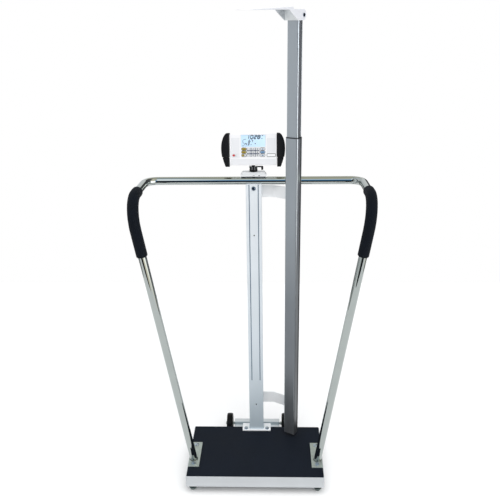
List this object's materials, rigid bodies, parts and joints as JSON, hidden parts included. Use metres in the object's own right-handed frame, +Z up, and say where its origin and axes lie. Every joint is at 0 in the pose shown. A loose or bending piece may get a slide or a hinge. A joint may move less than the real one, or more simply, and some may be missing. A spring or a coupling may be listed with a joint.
{
  "type": "handrail weighing scale with height rod",
  "caption": "Low platform scale with a chrome handrail, a swivelling and tilting digital indicator on a column, and a telescoping height rod with a folding headpiece.",
  "frame": {"origin": "middle of the bounding box, on the floor that the levelling feet stand on", "axes": "+X to the right of a person who stands on the platform facing the indicator, +Y from the platform's front edge towards the column, +Z up"},
  "size_m": [0.9654, 0.5204, 2.021],
  "materials": {
    "deck_paint": "light grey satin enamel over sheet steel",
    "column_paint": "pale grey powder coat",
    "bracket_paint": "white powder coat",
    "tread_rubber": "near-black ribbed rubber",
    "grip_foam": "matte black closed-cell foam",
    "rail_chrome": "bright chrome plate",
    "zinc_plate": "dull zinc plate",
    "rod_anodised": "satin grey anodised",
    "white_plastic": "off-white moulded plastic",
    "black_plastic": "black moulded plastic",
    "wheel_black": "solid black rubber",
    "display": "pale blue liquid crystal display",
    "board_green": "green laminate",
    "key_yellow": "yellow membrane key",
    "key_grey": "pale grey membrane key",
    "key_blue": "blue-grey membrane key",
    "key_red": "red and white membrane key"
  },
  "bodies": {
    "root": {"platform_deck": "deck_paint", "tread_mat": "tread_rubber", "stiffener_frame": "zinc_plate", "load_cell_1": "rod_anodised", "load_cell_2": "rod_anodised", "load_cell_3": "rod_anodised", "load_cell_4": "rod_anodised", "left_foot_plate": "zinc_plate", "right_foot_plate": "zinc_plate", "left_foot_plate_bolts": "zinc_plate", "right_foot_plate_bolts": "zinc_plate", "column_base_plate": "deck_paint", "column_bolts": "zinc_plate", "column": "column_paint", "rail_saddle": "column_paint", "handrail": "rail_chrome", "left_grip": "grip_foam", "right_grip": "grip_foam", "rod_outer": "rod_anodised", "rod_collar": "black_plastic", "lower_rod_bracket": "bracket_paint", "upper_rod_bracket": "bracket_paint", "indicator_bracket": "bracket_paint", "swivel_post": "black_plastic", "wheel_crossbar": "deck_paint", "wheel_axle": "zinc_plate"},
    "foot_1": {"levelling_foot_1": "zinc_plate"},
    "foot_2": {"levelling_foot_2": "zinc_plate"},
    "foot_3": {"levelling_foot_3": "zinc_plate"},
    "foot_4": {"levelling_foot_4": "zinc_plate"},
    "wheel_left": {"left_wheel": "wheel_black"},
    "wheel_right": {"right_wheel": "wheel_black"},
    "mast": {"rod_inner": "rod_anodised", "rod_head_block": "black_plastic", "headpiece_pin": "zinc_plate"},
    "headpiece": {"headpiece": "white_plastic"},
    "swivel": {"swivel_head": "black_plastic", "tilt_pin": "zinc_plate"},
    "indicator": {"indicator_front": "white_plastic", "indicator_back": "white_plastic", "left_end_cap": "black_plastic", "right_end_cap": "black_plastic", "lcd_panel": "display", "circuit_board": "board_green"},
    "unit_key_1": {"unit_key_1": "key_yellow"},
    "unit_key_2": {"unit_key_2": "key_yellow"},
    "unit_key_3": {"unit_key_3": "key_yellow"},
    "number_key_1": {"number_key_1": "key_grey"},
    "number_key_2": {"number_key_2": "key_grey"},
    "number_key_3": {"number_key_3": "key_grey"},
    "number_key_4": {"number_key_4": "key_grey"},
    "number_key_5": {"number_key_5": "key_grey"},
    "number_key_6": {"number_key_6": "key_grey"},
    "number_key_7": {"number_key_7": "key_grey"},
    "number_key_8": {"number_key_8": "key_grey"},
    "number_key_9": {"number_key_9": "key_grey"},
    "function_key_1": {"function_key_1": "key_blue"},
    "function_key_2": {"function_key_2": "key_blue"},
    "function_key_3": {"function_key_3": "key_blue"},
    "power_key": {"power_key": "key_red"}
  },
  "joints": [
    {"name": "rod_slide", "type": "slide", "parent": "root", "child": "mast", "axis": [0, 0, 1], "range_m": [-0.42, 0.2]},
    {"name": "headpiece_fold", "type": "hinge", "parent": "mast", "child": "headpiece", "pos_m": [0.1711, 0.08128, 1.992], "axis": [-0.866, 0.5, 0], "range_deg": [0, 90]},
    {"name": "indicator_swivel", "type": "hinge", "parent": "root", "child": "swivel", "pos_m": [0, 0.12522, 1.3883], "axis": [0, 0, 1], "range_deg": [-150, 150]},
    {"name": "indicator_tilt", "type": "hinge", "parent": "swivel", "child": "indicator", "pos_m": [0, 0.12122, 1.399], "axis": [1, 0, 0], "range_deg": [-10, 10]},
    {"name": "left_wheel_turn", "type": "hinge", "parent": "root", "child": "wheel_left", "pos_m": [-0.1375, 0.21022, 0.056], "axis": [1, 0, 0], "continuous": true},
    {"name": "right_wheel_turn", "type": "hinge", "parent": "root", "child": "wheel_right", "pos_m": [0.1375, 0.21022, 0.056], "axis": [1, 0, 0], "continuous": true},
    {"name": "foot_1_thread", "type": "hinge", "parent": "root", "child": "foot_1", "pos_m": [-0.28, -0.20078, 0.01], "axis": [0, 0, 1], "continuous": true},
    {"name": "foot_2_thread", "type": "hinge", "parent": "root", "child": "foot_2", "pos_m": [0.28, -0.20078, 0.01], "axis": [0, 0, 1], "continuous": true},
    {"name": "foot_3_thread", "type": "hinge", "parent": "root", "child": "foot_3", "pos_m": [-0.28, 0.10322, 0.01], "axis": [0, 0, 1], "continuous": true},
    {"name": "foot_4_thread", "type": "hinge", "parent": "root", "child": "foot_4", "pos_m": [0.28, 0.10322, 0.01], "axis": [0, 0, 1], "continuous": true},
    {"name": "unit_key_1_press", "type": "slide", "parent": "indicator", "child": "unit_key_1", "axis": [0, 0.9848, -0.1736], "range_m": [0, 0.0008], "stiffness_N_per_m": 500},
    {"name": "unit_key_2_press", "type": "slide", "parent": "indicator", "child": "unit_key_2", "axis": [0, 0.9848, -0.1736], "range_m": [0, 0.0008], "stiffness_N_per_m": 500},
    {"name": "unit_key_3_press", "type": "slide", "parent": "indicator", "child": "unit_key_3", "axis": [0, 0.9848, -0.1736], "range_m": [0, 0.0008], "stiffness_N_per_m": 500},
    {"name": "number_key_1_press", "type": "slide", "parent": "indicator", "child": "number_key_1", "axis": [0, 0.9848, -0.1736], "range_m": [0, 0.0008], "stiffness_N_per_m": 500},
    {"name": "number_key_2_press", "type": "slide", "parent": "indicator", "child": "number_key_2", "axis": [0, 0.9848, -0.1736], "range_m": [0, 0.0008], "stiffness_N_per_m": 500},
    {"name": "number_key_3_press", "type": "slide", "parent": "indicator", "child": "number_key_3", "axis": [0, 0.9848, -0.1736], "range_m": [0, 0.0008], "stiffness_N_per_m": 500},
    {"name": "number_key_4_press", "type": "slide", "parent": "indicator", "child": "number_key_4", "axis": [0, 0.9848, -0.1736], "range_m": [0, 0.0008], "stiffness_N_per_m": 500},
    {"name": "number_key_5_press", "type": "slide", "parent": "indicator", "child": "number_key_5", "axis": [0, 0.9848, -0.1736], "range_m": [0, 0.0008], "stiffness_N_per_m": 500},
    {"name": "number_key_6_press", "type": "slide", "parent": "indicator", "child": "number_key_6", "axis": [0, 0.9848, -0.1736], "range_m": [0, 0.0008], "stiffness_N_per_m": 500},
    {"name": "number_key_7_press", "type": "slide", "parent": "indicator", "child": "number_key_7", "axis": [0, 0.9848, -0.1736], "range_m": [0, 0.0008], "stiffness_N_per_m": 500},
    {"name": "number_key_8_press", "type": "slide", "parent": "indicator", "child": "number_key_8", "axis": [0, 0.9848, -0.1736], "range_m": [0, 0.0008], "stiffness_N_per_m": 500},
    {"name": "number_key_9_press", "type": "slide", "parent": "indicator", "child": "number_key_9", "axis": [0, 0.9848, -0.1736], "range_m": [0, 0.0008], "stiffness_N_per_m": 500},
    {"name": "function_key_1_press", "type": "slide", "parent": "indicator", "child": "function_key_1", "axis": [0, 0.9848, -0.1736], "range_m": [0, 0.0008], "stiffness_N_per_m": 500},
    {"name": "function_key_2_press", "type": "slide", "parent": "indicator", "child": "function_key_2", "axis": [0, 0.9848, -0.1736], "range_m": [0, 0.0008], "stiffness_N_per_m": 500},
    {"name": "function_key_3_press", "type": "slide", "parent": "indicator", "child": "function_key_3", "axis": [0, 0.9848, -0.1736], "range_m": [0, 0.0008], "stiffness_N_per_m": 500},
    {"name": "power_key_press", "type": "slide", "parent": "indicator", "child": "power_key", "axis": [0, 0.9848, -0.1736], "range_m": [0, 0.0008], "stiffness_N_per_m": 500}
  ]
}
